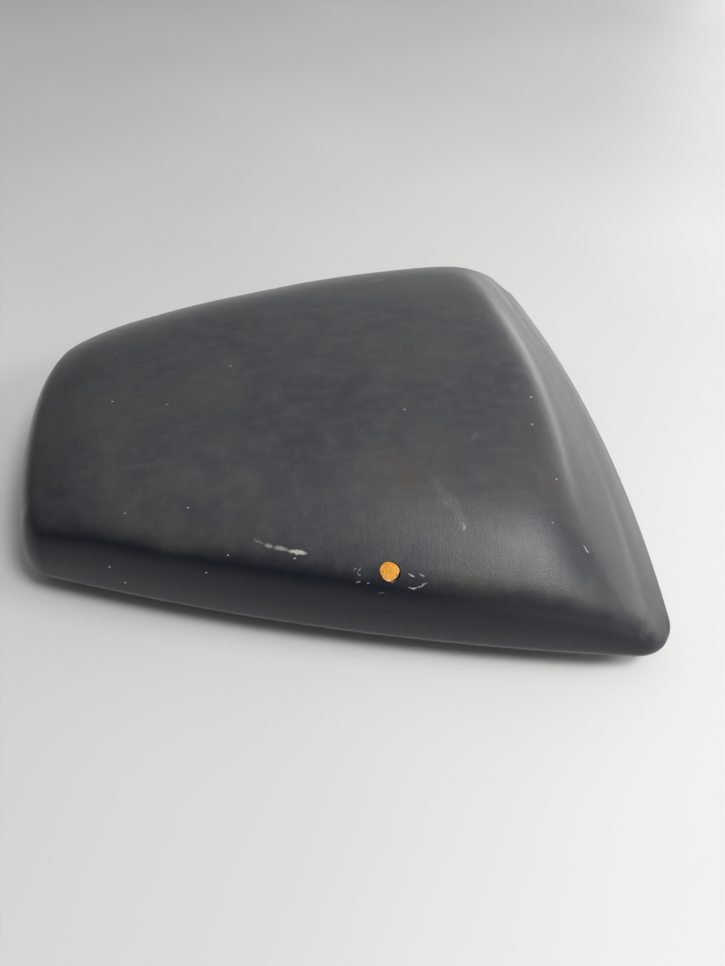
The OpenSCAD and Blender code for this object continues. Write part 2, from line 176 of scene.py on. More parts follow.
paint, tree, shader, coords = new_material("painted_table_top")
blotches = grain(tree, coords, blotch_w)
tree.links.new(ramp(tree, blotches, [(0.3, "#d6d7d5"), (0.7, "#dedfdd")]), shader.inputs["Base Color"])
shader.inputs["Roughness"].default_value = 0.55
floor.data.materials.append(paint)
print("floor:", floor_size, "m square")

# %% Sky of the room
sky = bpy.data.worlds.new("room")
bpy.context.scene.world = sky
sky.use_nodes = True
room = sky.node_tree
around_us = add(room, "ShaderNodeTexCoord").outputs["Generated"]
bright_side = (0.8, 0.45, 0.4)
dark_level, bright_level = 0.04, 0.66
dark_end, bright_end = -0.3, 0.9
toward = add(room, "ShaderNodeVectorMath", {0: around_us, 1: bright_side}, operation="DOT_PRODUCT")
level = add(room, "ShaderNodeMapRange", {"Value": toward.outputs["Value"], "From Min": dark_end,
                                         "From Max": bright_end, "To Min": dark_level,
                                         "To Max": bright_level}).outputs["Result"]
room.links.new(level, room.nodes["Background"].inputs["Strength"])
room.nodes["Background"].inputs["Color"].default_value = colour("#cfd1d3")
print("sky strength:", dark_level, "to", bright_level)

# %% [markdown]
# The skin is black and satin, so what it mirrors matters more than what falls on it. A compact lamp
# overhead, a little to the right and in front, gives the soft streak on the near roll. A wide, weak one
# high up stands for the room's ceiling. A low, wide one stands where the bright wall was, and lights the
# scooped front face along its slope, and a weak one low in front lifts the near side. A lamp at the
# right throws the shadow beyond the narrow end. It isn't mirrored, so it adds no second streak.

# %% Lamps
def lamp(name, place, target, width, height, power, tint):
    """A rectangular lamp; sizes in metres, power in watts. The camera doesn't see the lamp itself."""
    data = bpy.data.lights.new(name, "AREA")
    data.shape = "RECTANGLE"
    data.size = width
    data.size_y = height
    data.energy = power
    data.color = colour(tint)[:3]
    obj = bpy.data.objects.new(name, data)
    bpy.context.scene.collection.objects.link(obj)
    aim = Vector(target) - Vector(place)
    obj.matrix_world = Matrix.Translation(place) @ aim.to_track_quat("-Z", "Y").to_matrix().to_4x4()
    obj.visible_camera = False
    return obj


lamp("ceiling_lamp", (0.54, -0.5, 1.3), (0, 0, 0), 0.4, 0.4, 12.6, "#ffffff")
lamp("ceiling", (0.1, -0.35, 2.2), (0.1, -0.35, 0), 2.6, 2.2, 6, "#fdfdff")
side_lamp = lamp("side_lamp", (1.1, -0.35, 0.75), (0, 0, 0), 0.35, 0.35, 6.5, "#ffffff")
side_lamp.visible_glossy = False
lamp("bright_front", (0.7, -1.6, 0.28), (0, 0, 0.02), 1.6, 0.4, 3.5, "#fffefb")
lamp("bright_wall", (1.81, 1.42, 0.3), (0, 0, 0.05), 1.7, 0.5, 18, "#fffdf8")
print("lamps:", len(bpy.data.lights))

# %% Plain view of the colours
view = bpy.context.scene.view_settings
view.view_transform = "Standard"
print("view transform:", view.view_transform)

# %% [markdown]
# The skin is one sheet pulled over a foam block, and has no seam. Its outline is eight arcs that run
# into each other: a long bowed front edge, a bowed side, a bowed rear edge, and a corner between each.
# Seen from the side, its edge is a soft roll, except at the front, where the roll gives way to a lip
# and a scooped face. So the form is made as the mould maker draws it: the outline first, then a
# profile that changes along it. Sizes are the solids' own, in millimetres.

# %% Sizes of the outline
low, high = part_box("cover_skin")
seat_len, front_w, rear_w = 300, 287, 150
front_r, rear_r, side_r = 800, 350, 1250
front_corner_r, rear_corner_r = 20, 19
hem_z = low[2] / mm
skin_t = 1.2
front_steps, corner_steps, side_steps, rear_steps = 30, 22, 66, 20
print("hem at", round(hem_z, 2), "mm, solid's top at", round(high[2] / mm, 2), "mm")

# %% [markdown]
# Each corner arc touches the arcs beside it. Its centre is therefore where two circles cross that are
# drawn round the neighbours' centres, each with the difference of the two radii.

# %% Centres of the arcs
def crossing(a, ra, b, rb):
    """Where two circles cross, on the left of the line between their centres."""
    gap = (b - a).length
    along = (b - a) / gap
    s = (ra * ra - rb * rb + gap * gap) / (2 * gap)
    return a + along * s + Vector((-along.y, along.x)) * math.sqrt(ra * ra - s * s)


front_centre = Vector((seat_len / 2 - front_r, 0))
rear_centre = Vector((-seat_len / 2 + rear_r, 0))
front_y = front_w / 2 - front_corner_r
rear_y = rear_w / 2 - rear_corner_r
front_corner = Vector((front_centre.x + math.sqrt((front_r - front_corner_r) ** 2 - front_y ** 2), front_y))
rear_corner = Vector((rear_centre.x - math.sqrt((rear_r - rear_corner_r) ** 2 - rear_y ** 2), rear_y))
side_centre = crossing(front_corner, side_r - front_corner_r, rear_corner, side_r - rear_corner_r)
print("side arc's centre:", [round(v, 1) for v in side_centre])


# %% Half the outline, point by point
def heading(start, end):
    """Direction from one point to another, as an angle."""
    return math.atan2(end.y - start.y, end.x - start.x)


def outline(inset, front_round, rear_round):
    """Half the outline, moved inward, as (point, direction of the normal, share of the side)."""
    a = crossing(front_centre, front_r - inset - front_round, side_centre, side_r - inset - front_round)
    b = crossing(side_centre, side_r - inset - rear_round, rear_centre, rear_r - inset - rear_round)
    turns = [0, heading(front_centre, a), heading(side_centre, a), heading(side_centre, b),
             heading(rear_centre, b), math.pi]
    arcs = [(front_centre, front_r - inset, front_steps), (a, front_round, corner_steps),
            (side_centre, side_r - inset, side_steps), (b, rear_round, corner_steps),
            (rear_centre, rear_r - inset, rear_steps)]
    shares = [(0, 0), (0, 0), (0, 1), (1, 1), (1, 1)]
    rows = []
    for i, (centre, radius, steps) in enumerate(arcs):
        last = i == len(arcs) - 1
        for step in range(steps + last):
            u = step / steps
            turn = turns[i] + (turns[i + 1] - turns[i]) * u
            point = centre + radius * Vector((math.cos(turn), math.sin(turn)))
            rows.append((point, turn, shares[i][0] + (shares[i][1] - shares[i][0]) * u))
    return rows


edge = outline(0, front_corner_r, rear_corner_r)
hem_w, hem_corner = 22, 8
hem_edge = outline(hem_w, hem_corner, hem_corner)
print("half outline points:", len(edge))

# %% [markdown]
# Over that outline lies a swelling top that rolls down softly towards the sides and the rear. A
# second surface, the scooped front face, rises from the lip to the crest. The pad is the lower of the
# two, with a soft crest where they meet, and its rim is rounded all the way round. Towards the front
# corners the scoop flattens and the crest softens, which makes the corners a little fuller than the
# solids have them, and a fine ridge, which the solids lack, runs along the lip.

# %% Sizes of the form
rear_h, front_h, bulge_h = 46, 37, 10.5
rear_crown, front_crown = 8, 29.5
rim_w, roll_w, roll_drop, edge_w = 14, 50, 0.26, 58
face_w, face_flare, face_rise, face_start = 37, 17.5, 35, 4
lip_h, lip_fall, tuck, tuck_h = 8.4, 2, 3, 6
rim_full, roll_full, corner_full = 2.8, 2.2, 3
scoop_middle, scoop_corner = 1.4, 0.95
crest_middle, crest_corner = 8, 4.5
ridge_in, ridge_w, ridge_h = 15, 3.2, 0.8
front_share, rear_share = 0.45, 0.5
spine_front = seat_len / 2 - front_share * front_w
spine_rear = -seat_len / 2 + rear_share * rear_w
print("spine from", spine_rear, "to", spine_front, "mm")


# %% Swelling top and scooped front face
def smooth(t):
    """0 below 0, 1 above 1, and an even S in between."""
    t = min(max(t, 0), 1)
    return t * t * (3 - 2 * t)


def nearness(d):
    """1 at the edge, falling to 0 where the roll ends."""
    return max(1 - max(d, 0) / roll_w, 0)


def rolled_top(p):
    """Height above the hem of the top, with its rolls along the sides and the rear."""
    t = p.x / seat_len + 0.5
    half_w = (rear_w + (front_w - rear_w) * t) / 2
    crown = rear_crown + (front_crown - rear_crown) * t
    top = rear_h + (front_h - rear_h) * t + 4 * bulge_h * t * (1 - t) + crown * (1 - (p.y / half_w) ** 2)
    side = nearness(side_r - (p - side_centre).length)
    rear = nearness(rear_r - (p - rear_centre).length)
    near = (side ** corner_full + rear ** corner_full) ** (1 / corner_full)
    return (top - hem_z) * (1 - roll_drop * near ** roll_full)


def front_face(p):
    """Height above the hem of the front face, scooped in the middle and flatter at the corners."""
    spread = (2 * p.y / front_w) ** 2
    inward = front_r - (p - front_centre).length
    d = max(inward - face_start, 0)
    scoop = scoop_middle + (scoop_corner - scoop_middle) * spread ** 2
    ridge = ridge_h * math.exp(-((inward - ridge_in) / ridge_w) ** 2)
    reach = face_w + face_flare * spread - face_start
    return lip_h - lip_fall * spread + ridge + face_rise * (d / reach) ** scoop


def body_h(p):
    """Height of the pad above the hem: the lower of the two surfaces, with a soft crest."""
    a, b = rolled_top(p), front_face(p)
    n = crest_middle + (crest_corner - crest_middle) * min((2 * p.y / front_w) ** 2, 1)
    return a * b / (a ** n + b ** n) ** (1 / n)


middle_line = range(-100, 101, 10)
print("highest along the middle:", round(max(body_h(Vector((x, 0))) for x in middle_line), 1), "mm")

# %% [markdown]
# A straight line leads from each point of the outline in to a spine along the middle. Round a corner
# these lines leave the edge at a slant, so how fast they leave it is evened out from one end of the
# corner to the other. That keeps the rows of the grid even round the corner.

# %% From the outline to the skin
def normal(i):
    """Outward direction at a point of the outline."""
    return Vector((math.cos(edge[i][1]), math.sin(edge[i][1])))


def to_spine(i):
    """The line from a point of the outline in to the spine."""
    return Vector((spine_front + (spine_rear - spine_front) * edge[i][2], 0)) - edge[i][0]


leaving = [-to_spine(i).dot(normal(i)) for i in range(len(edge))]
even_leaving = list(leaving)
for first in (front_steps, front_steps + corner_steps + side_steps):
    for i in range(1, corner_steps):
        ends = leaving[first], leaving[first + corner_steps]
        even_leaving[first + i] = ends[0] + (ends[1] - ends[0]) * i / corner_steps


def skin_point(i, inward, over):
    """Point of the skin in millimetres: inward from the edge, and over to the middle of the top."""
    reach = inward / even_leaving[i]
    share = reach + (1 - reach) * over
    p = edge[i][0] + share * to_spine(i)
    rim = (1 - max(1 - share * leaving[i] / rim_w, 0) ** rim_full) ** (1 / rim_full)
    h = rim * body_h(p)
    q = p - tuck * max(1 - h / tuck_h, 0) ** 2 * normal(i)
    return Vector((q.x, q.y, hem_z + h))


print("lines from edge to spine:", len(leaving), "least depth", round(min(leaving), 1), "mm")

# %% [markdown]
# The sheet itself starts as a plain grid. Its columns go up the profile and over to the middle of the
# seat, and its rows go round the outline. Each grid point is moved to its place on the form, and the
# points that meet, at the seam and along the middle, are then merged. The first rows are the hem,
# turned under the pan, where the vinyl gathers into small folds at the corners.

# %% Columns of the sheet
hem_rows, rim_rows, edge_rows, top_rows = 8, 24, 34, 24
gather_h, gather_count, gather_reach = 1.1, 5, 1.15
rim_ease = 1.5
half = len(edge) - 1
around = 2 * half


def hem_point(i, row):
    """Point of the turned-under hem, gathered at the corners."""
    t = row / hem_rows
    inner_edge = hem_edge[i][0]
    rim = skin_point(i, 0, 0)
    p = inner_edge.lerp(Vector((rim.x, rim.y)), t)
    fold = 0
    for start in (front_steps, front_steps + corner_steps + side_steps):
        u = (i - start) / corner_steps
        if 0 <= u <= 1:
            fold += math.sin(math.pi * u) * (0.5 - 0.5 * math.cos(2 * math.pi * gather_count * u))
    return Vector((p.x, p.y, hem_z - gather_h * fold * math.sin(math.pi * min(t * gather_reach, 1))))


def column(i):
    """One column of points: the hem, the rounded rim, the roll and the top, up to the spine."""
    rows = [hem_point(i, row) for row in range(hem_rows)]
    for row in range(rim_rows):
        round_off = math.cos(math.pi / 2 * (row / rim_rows) ** rim_ease) ** (2 / rim_full)
        rows.append(skin_point(i, rim_w * (1 - round_off), 0))
    rows += [skin_point(i, rim_w + (edge_w - rim_w) * row / edge_rows, 0) for row in range(edge_rows + 1)]
    rows += [skin_point(i, edge_w, row / top_rows) for row in range(1, top_rows + 1)]
    return rows


half_columns = [column(i) for i in range(half + 1)]
rows_up = len(half_columns[0])
print("grid:", around, "columns of", rows_up, "points")

# %% The grid laid on the form
weld = 0.01 * mm
deselect()
bpy.ops.mesh.primitive_grid_add(x_subdivisions=around, y_subdivisions=rows_up - 1, size=1)
skin = bpy.context.active_object
skin.name = "seat_skin"
per_row = around + 1
for row in range(rows_up):
    for step in range(per_row):
        turn = step % around
        i = min(turn, around - turn)
        p = half_columns[i][row]
        side = 1 if turn <= half else -1
        skin.data.vertices[row * per_row + step].co = Vector((p.x, side * p.y, p.z)) * mm

pick(skin)
bpy.ops.object.mode_set(mode="EDIT")
bpy.ops.mesh.select_all(action="SELECT")
bpy.ops.mesh.remove_doubles(threshold=weld)
bpy.ops.mesh.normals_make_consistent(inside=False)
bpy.ops.object.mode_set(mode="OBJECT")
print("skin sheet:", len(skin.data.vertices), "points", len(skin.data.polygons), "faces")

# %% [markdown]
# Old foam settles, so the sheet isn't as true as the mould. Points away from the rim move in and out
# by a few tenths of a millimetre, over waves a few centimetres long.

# %% Slight settling of the foam
wave = 46 * mm
settle = 0.35 * mm
held_h = 7
free_z = (hem_z + held_h) * mm
free_rise = 8 * mm
for vertex in skin.data.vertices:
    hold = smooth((vertex.co.z - free_z) / free_rise)
    vertex.co += vertex.normal * settle * hold * noise.noise(vertex.co / wave)
print("settling: at most", round(settle / mm, 2), "mm")

# %% [markdown]
# The outside of the skin is final now. A search tree of it is kept, because the foam is laid just under
# it and every mark of wear is laid on it.

# %% The finished outside, kept for laying things on it
points = [vertex.co.copy() for vertex in skin.data.vertices]
faces = [face.vertices[:] for face in skin.data.polygons]
sheet = BVHTree.FromPolygons(points, faces)
top_faces = [face for face in skin.data.polygons if face.center.z > 0.9 * high[2]]
print("skin faces outward:", sum(face.normal.z for face in top_faces) > 0)

# %% [markdown]
# Vinyl of this kind is a little over a millimetre thick, and that thickness shows at the hole. The
# sheet gets it from Solidify, inward only, so the outside stays where it is.

# %% Thickness of the vinyl
thicken = skin.modifiers.new("vinyl_thickness", "SOLIDIFY")
thicken.thickness = skin_t * mm
thicken.offset = -1
thicken.use_even_offset = False
pick(skin)
bpy.ops.object.modifier_apply(modifier=thicken.name)
print("skin with its thickness:", len(skin.data.polygons), "faces")

# %% [markdown]
# The hole on the near roll is worn or burnt through, nearly round and about 9 mm across. A round
# punch, made a little uneven, cuts it square to the surface.

# %% Place of the worn hole
hole_x, hole_in = 15, 11
hole_d = 8.7
hole_sides = 40
hole_y = side_centre.y + math.sqrt((side_r - hole_in) ** 2 - (hole_x - side_centre.x) ** 2)
clear_z = 120
straight_down = Vector((0, 0, -1))
_, hole_centre, hole_normal, _ = skin.ray_cast(Vector((hole_x, -hole_y, clear_z)) * mm, straight_down)
hole_centre = hole_centre.copy()
hole_normal = hole_normal.copy()
hole_place = Matrix.Translation(hole_centre) @ hole_normal.to_track_quat("Z", "Y").to_matrix().to_4x4()
print("hole at", [round(v / mm, 1) for v in hole_centre], "facing", [round(v, 2) for v in hole_normal])

# %% The punch, and the hole it cuts
punch_h = 12
coarse_wave, fine_wave = 1.7, 6
coarse_share, fine_share = 0.07, 0.025
coarse_slice, fine_slice = 3.1, 8.4
sharp = math.radians(40)
deselect()
bpy.ops.mesh.primitive_cylinder_add(vertices=hole_sides, radius=hole_d / 2 * mm, depth=punch_h * mm)
punch = bpy.context.active_object
punch.name = "punch"
for vertex in punch.data.vertices:
    turn = math.atan2(vertex.co.y, vertex.co.x)
    coarse = noise.noise(Vector((math.cos(turn) * coarse_wave, math.sin(turn) * coarse_wave, coarse_slice)))
    fine = noise.noise(Vector((math.cos(turn) * fine_wave, math.sin(turn) * fine_wave, fine_slice)))
    stretch = 1 + coarse_share * coarse + fine_share * fine
    vertex.co.x *= stretch
    vertex.co.y *= stretch
punch.matrix_world = hole_place
cut = skin.modifiers.new("hole", "BOOLEAN")
cut.operation = "DIFFERENCE"
cut.object = punch
cut.solver = "EXACT"
pick(skin)
bpy.ops.object.modifier_apply(modifier=cut.name)
bpy.data.objects.remove(punch)
pick(skin)
bpy.ops.object.shade_smooth_by_angle(angle=sharp)
print("skin:", sum(len(p.vertices) - 2 for p in skin.data.polygons), "triangles")

# %% [markdown]
# The foam fills the skin. Only a patch of it shows, through the hole, where its cells are open and a
# little torn. So the foam is a copy of its solid, merged and laid close under the finished sheet. Near
# the hole it is hollowed, to leave room for a fine round cap of foam, where the detail is wanted.

# %% The foam block
foam = nodes["foam_pad"].copy()
foam.data = nodes["foam_pad"].data.copy()
foam.name = "seat_foam"
bpy.context.scene.collection.objects.link(foam)
foam.parent = None
foam.matrix_world = Matrix.Identity(4)
foam.hide_render = False
pick(foam)
bpy.ops.object.mode_set(mode="EDIT")
bpy.ops.mesh.select_all(action="SELECT")
bpy.ops.mesh.remove_doubles(threshold=weld)
bpy.ops.object.mode_set(mode="OBJECT")
foam.data.materials.clear()
bpy.ops.object.shade_smooth_by_angle(angle=sharp)
print("foam block:", len(foam.data.vertices), "points")

# %% The foam laid under the sheet
foam_gap = 1.5 * mm
near_skin = 6 * mm
least_up = 0.02
cap_hollow, cap_reach, cap_round = 3 * mm, 18 * mm, 1.4
moved = 0
for vertex in foam.data.vertices:
    spot, facing, _, away = sheet.find_nearest(vertex.co)
    if away < near_skin and facing.z > least_up:
        hollow = cap_hollow * smooth(cap_round - (spot - hole_centre).length / cap_reach)
        vertex.co = spot - facing * (foam_gap + hollow)
        moved += 1
print("foam points laid under the sheet:", moved)

# %% [markdown]
# The cap starts as a flat disc over the hole. It is pushed in to just below the vinyl's surface and
# roughened. The foam has shrunk a little from the hole's edge, so the cap drops away steeply there, and
# its lower rim is painted paler, a painted highlight where the light reaches the torn cells. That painted
# highlight is kept as an attribute of the mesh.

# %% Disc for the torn foam
cap_r = 6.2
cap_sides = 72
cap_cuts = 12
deselect()
bpy.ops.mesh.primitive_circle_add(vertices=cap_sides, radius=cap_r * mm, fill_type="TRIFAN")
cap = bpy.context.active_object
cap.name = "hole_foam"
bpy.ops.object.mode_set(mode="EDIT")
bpy.ops.mesh.select_all(action="SELECT")
bpy.ops.mesh.subdivide(number_cuts=cap_cuts)
bpy.ops.object.mode_set(mode="OBJECT")
print("cap disc:", len(cap.data.vertices), "points")

# %% Torn surface of the foam
shrunk_towards = hole_centre + Vector((-0.23, 0.17, 0.14)) * mm
torn_r, torn_edge, torn_drop = 4.0, 0.25, 3.5
cap_sink, cap_crown = 0.55, 0.35
lump_w, lump_h = 1.6, 0.14
cell_w, cell_h = 0.55, 0.07
for vertex in cap.data.vertices:
    flat = hole_place @ vertex.co
    r = (flat - shrunk_towards).length / mm
    rough = noise.noise(vertex.co / (lump_w * mm)) * lump_h + noise.noise(vertex.co / (cell_w * mm)) * cell_h
    drop = torn_drop * smooth((r - torn_r) / torn_edge)
    crown = cap_crown * (1 - (r / cap_r) ** 2)
    vertex.co = flat + hole_normal * (crown + rough - cap_sink - drop) * mm

# %% Painted highlight on the lower rim of the torn foam
rim_band, rim_fade, lower_fade = 0.7, 0.6, 5 * mm
painted_rim_highlight = cap.data.attributes.new("painted_rim_highlight", "FLOAT", "POINT")
for vertex in cap.data.vertices:
    side = vertex.co - shrunk_towards
    lower = smooth(0.5 - side.y / lower_fade)
    painted_rim_highlight.data[vertex.index].value = lower * smooth((side.length / mm - torn_r + rim_band) / rim_fade)
print("palest rim value:", round(max(value.value for value in painted_rim_highlight.data), 2))

# %% The cap made solid
cap_depth = 2.2
pick(cap)
bpy.ops.object.mode_set(mode="EDIT")
bpy.ops.mesh.select_all(action="SELECT")
bpy.ops.mesh.extrude_region_move(TRANSFORM_OT_translate={"value": -hole_normal * cap_depth * mm})
bpy.ops.mesh.select_all(action="SELECT")
bpy.ops.mesh.normals_make_consistent(inside=False)
bpy.ops.object.mode_set(mode="OBJECT")
bpy.ops.object.shade_smooth_by_angle(angle=math.radians(60))
print("foam cap:", len(cap.data.polygons), "faces")

# %% [markdown]
# The skin is PVC-coated fabric, calendered to a fine satin grain. New, it is near black with an even
# sheen. This one is old: the top is greyed by sun and rubbing, with cloudy patches, and the sides
# stay darker and bluer. Grey shows as a lighter colour and a rougher surface, never as paint on top.
# The pebble and the pores of the grain are drawn a little coarser than life, so that they still show.

# %% Patterns of the vinyl
cloud_w, smudge_w, pebble_w, pore_w = 60 * mm, 9 * mm, 0.9 * mm, 0.7 * mm
vinyl, tree, shader, coords = new_material("calendered_pvc_vinyl")
geometry = add(tree, "ShaderNodeNewGeometry")
up = add(tree, "ShaderNodeSeparateXYZ", {"Vector": geometry.outputs["Normal"]}).outputs["Z"]
clouds = grain(tree, coords, cloud_w, detail=6, roughness=0.6)
smudges = grain(tree, coords, smudge_w, detail=6, roughness=0.65)
pebble = add(tree, "ShaderNodeTexVoronoi", {"Vector": coords, "Scale": 1 / pebble_w}).outputs["Distance"]
pores = grain(tree, coords, pore_w, detail=3)
print("pebble of the grain:", pebble_w / mm, "mm")


# %% Helpers that combine masks and colours
def between(tree, value, low_end, high_end, to_low=0.0, to_high=1.0):
    """The value's place between two ends, as a number from to_low to to_high."""
    return add(tree, "ShaderNodeMapRange", {"Value": value, "From Min": low_end, "From Max": high_end,
                                            "To Min": to_low, "To Max": to_high}).outputs["Result"]


def mix(tree, factor, first, second):
    """One colour over another; the factor and the colours are values or nodes' outputs."""
    node = add(tree, "ShaderNodeMix", data_type="RGBA")
    colours = [socket for socket in node.inputs if socket.type == "RGBA"]
    for socket, value in zip([node.inputs[0]] + colours, (factor, first, second)):
        if isinstance(value, bpy.types.NodeSocket):
            tree.links.new(value, socket)
        else:
            socket.default_value = value
    return [socket for socket in node.outputs if socket.type == "RGBA"][0]


def times(tree, first, second):
    """Two masks multiplied."""
    return add(tree, "ShaderNodeMath", {0: first, 1: second}, operation="MULTIPLY").outputs[0]


# %% [markdown]
# Wear begins where the surface faces up, so the masks start from the normal's height. Sun has faded
# the top in clouds. Dust lies on it in small smudges, and wiping along the seat has left long faint
# streaks. Some clouds are browner than others. Fine creases run across the seat.

# %% Masks of the wear, and the base colour
wipe_w, crease_w = 4 * mm, 2.2 * mm
worn_top = between(tree, up, 0.57, 0.95)
patchy = between(tree, clouds, 0.35, 0.65, 0.62, 1.0)
faded = times(tree, worn_top, patchy)
speckle = between(tree, smudges, 0.45, 0.75)
dusty = times(tree, times(tree, worn_top, speckle), 0.6)
along_seat = add(tree, "ShaderNodeMapping", {"Vector": coords, "Scale": (0.2, 1, 1)}).outputs["Vector"]
across_seat = add(tree, "ShaderNodeMapping", {"Vector": coords, "Scale": (1, 0.12, 0.12)}).outputs["Vector"]
wiped = times(tree, worn_top, between(tree, grain(tree, along_seat, wipe_w, detail=4), 0.48, 0.75, 0.0, 0.4))
creases = grain(tree, across_seat, crease_w, detail=3)
brown = times(tree, worn_top, between(tree, clouds, 0.5, 0.68, 0.0, 0.75))
base = mix(tree, faded, colour("#191d25"), colour("#47484b"))
base = mix(tree, brown, base, colour("#4a453d"))
print("nodes of the vinyl's base:", len(tree.nodes))

# %% [markdown]
# Each scratch and scuff of the photograph has its place on the seat, rounded to half a millimetre. A
# mark is a thin flat ellipsoid laid on the skin between two points: near its middle the vinyl turns pale
# and rough. Its coordinates are shaken by a little noise first, so that its edge is ragged.

# %% Shaken coordinates
shake_w, shake_by = 1.3 * mm, 1.5 * mm
jitter = add(tree, "ShaderNodeTexNoise", {"Vector": coords, "Scale": 1 / shake_w, "Detail": 3})
centred = add(tree, "ShaderNodeVectorMath", {0: jitter.outputs["Color"], 1: (0.5, 0.5, 0.5)},
              operation="SUBTRACT").outputs["Vector"]
shaken = add(tree, "ShaderNodeVectorMath", {0: centred, "Scale": shake_by}, operation="SCALE")
wobble = add(tree, "ShaderNodeVectorMath", {0: coords, 1: shaken.outputs["Vector"]}).outputs["Vector"]
print("edges of marks are shaken over", shake_w / mm, "mm")


# %% Marks laid on the skin
mark_depth = 3 * mm


def mark_mask(start, end, width, strength, ragged=0.5):
    """Mask of one mark; start and end are x, y in millimetres, seen from above."""
    ends = []
    for x, y in (start, end):
        spot, facing = sheet.ray_cast(Vector((x, y, clear_z)) * mm, straight_down)[:2]
        ends.append((spot, facing))
    middle = (ends[0][0] + ends[1][0]) / 2
    along = ends[1][0] - ends[0][0]
    facing = (ends[0][1] + ends[1][1]).normalized()
    x_axis = along.normalized()
    y_axis = facing.cross(x_axis).normalized()
    turn = Matrix((x_axis, y_axis, x_axis.cross(y_axis))).transposed().to_euler()
    size = (along.length / 2 + width * mm / 2, width * mm / 2, mark_depth)
    local = add(tree, "ShaderNodeMapping", {"Vector": wobble, "Location": middle, "Rotation": turn,
                                            "Scale": size}, vector_type="TEXTURE").outputs["Vector"]
    away = add(tree, "ShaderNodeVectorMath", {0: local}, operation="LENGTH").outputs["Value"]
    soft = add(tree, "ShaderNodeMapRange", {"Value": away, "From Min": 1, "From Max": 1 - ragged,
                                            "To Min": 0, "To Max": strength}).outputs["Result"]
    return soft


def marks_mask(marks):
    """All the marks of one list in one mask."""
    joined = None
    for mark in marks:
        mask = mark_mask(*mark)
        joined = mask if joined is None else add(tree, "ShaderNodeMath", {0: joined, 1: mask},
                                                 operation="MAXIMUM").outputs[0]
    return joined


# %% [markdown]
# The lists give each mark's two ends, its width in millimetres and its strength. The vinyl is cut in
# the long scratch, the small ones round the hole, the hook and the nick, and chipped at the specks.

# %% Scratches and specks
long_scratch = [((-39, -90.5), (-35, -93), 0.8, 0.3), ((-34, -93.5), (-32, -94.5), 1.9, 0.45),
                ((-30.5, -95), (-25.5, -96.5), 2.0, 0.5), ((-25, -97), (-18, -99), 2.2, 0.95)]
right_of_hole = [((22.5, -112), (24.5, -113), 0.9, 0.8), ((27, -112.5), (28.5, -113.5), 0.8, 0.5),
                 ((22, -116), (25.5, -116.5), 0.9, 0.85), ((25.5, -116.5), (29.5, -115.5), 0.8, 0.55)]
left_of_hole = [((0, -107.5), (2, -107), 0.5, 0.4), ((2, -108.5), (3.5, -107), 0.5, 0.4),
                ((1.5, -108.5), (3.5, -109.5), 0.5, 0.4), ((1.5, -111), (2.5, -111), 0.9, 0.4),
                ((5.5, -112), (6.5, -112), 0.9, 0.35), ((9.5, -115), (12.5, -115.5), 0.6, 0.3)]
hook = [((47, -96), (48, -97.5), 0.6, 0.5), ((48, -97.5), (47, -99), 1.2, 0.55)]
nick = [((97.5, -106.5), (99.5, -109.5), 0.9, 0.8)]
speck_places = [(-92.5, -71), (-65.5, -74), (-101, -11), (-75, -19), (-46, 2), (-50, -94), (-60, -96),
                (-102, -83.5), (-96.5, -87), (31.5, -39), (92, -34.5), (88, -51), (92, -79), (85, -99),
                (-23, -100)]
speck_long, speck_wide, speck_strength = 0.3, 0.9, 0.7
specks = [((x, y), (x + speck_long, y), speck_wide, speck_strength) for x, y in speck_places]
scratched = marks_mask(long_scratch + right_of_hole + left_of_hole + hook + nick + specks)
print("specks:", len(specks))

# %% [markdown]
# A scuff is wider and only rubbed dull, so it shows through a mottled grain.

# %% Scuffs
arc_scuff = [((38, -76), (41.5, -85), 6, 0.3), ((41, -84), (45.5, -90), 8, 0.4),
             ((45.5, -90), (47.5, -99), 6, 0.45)]
wide_scuffs = [((33, 78), (41, 82), 4.5, 0.6), ((58.5, -59), (61.5, -55), 3, 0.3),
               ((-98, -51), (-77, -52.5), 2.5, 0.18), ((-77, -53), (-66, -49), 11, 0.1),
               ((-66, -88), (-78, -86), 9, 0.15), ((118, -139), (127, -131), 6, 0.3)]
mottle_w = 1.3 * mm
mottled = between(tree, grain(tree, coords, mottle_w, detail=5, roughness=0.8), 0.35, 0.65)
scuffed = times(tree, marks_mask(arc_scuff + wide_scuffs), mottled)
print("scuffs:", len(arc_scuff + wide_scuffs))

# %% [markdown]
# The masks come together here. Wear lightens the vinyl, from wiped streaks to bare scratches. Fading,
# smudges and scratches also make the satin duller. The sheen is set on the shader's own sockets.

# %% Colour and roughness of the vinyl
satin, fade_dull, smudge_dull, scratch_dull = 0.29, 0.13, 0.06, 0.3
shade = mix(tree, wiped, base, colour("#4f4e4c"))
shade = mix(tree, dusty, shade, colour("#525252"))
shade = mix(tree, scuffed, shade, colour("#77756f"))
shade = mix(tree, scratched, shade, colour("#b4b5ae"))
tree.links.new(shade, shader.inputs["Base Color"])
dull = add(tree, "ShaderNodeMath", {0: faded, 1: fade_dull, 2: satin}, operation="MULTIPLY_ADD").outputs[0]
duller = add(tree, "ShaderNodeMath", {0: speckle, 1: smudge_dull, 2: dull}, operation="MULTIPLY_ADD")
rough = add(tree, "ShaderNodeMath", {0: scratched, 1: scratch_dull, 2: duller.outputs[0]},
            operation="MULTIPLY_ADD", use_clamp=True)
tree.links.new(rough.outputs[0], shader.inputs["Roughness"])
shader.inputs["Specular IOR Level"].default_value = 0.33
shader.inputs["Sheen Weight"].default_value = 0.15
shader.inputs["Sheen Roughness"].default_value = 0.35
shader.inputs["IOR"].default_value = 1.53
print("vinyl roughness from", satin, "to", round(satin + fade_dull + smudge_dull + scratch_dull, 2))

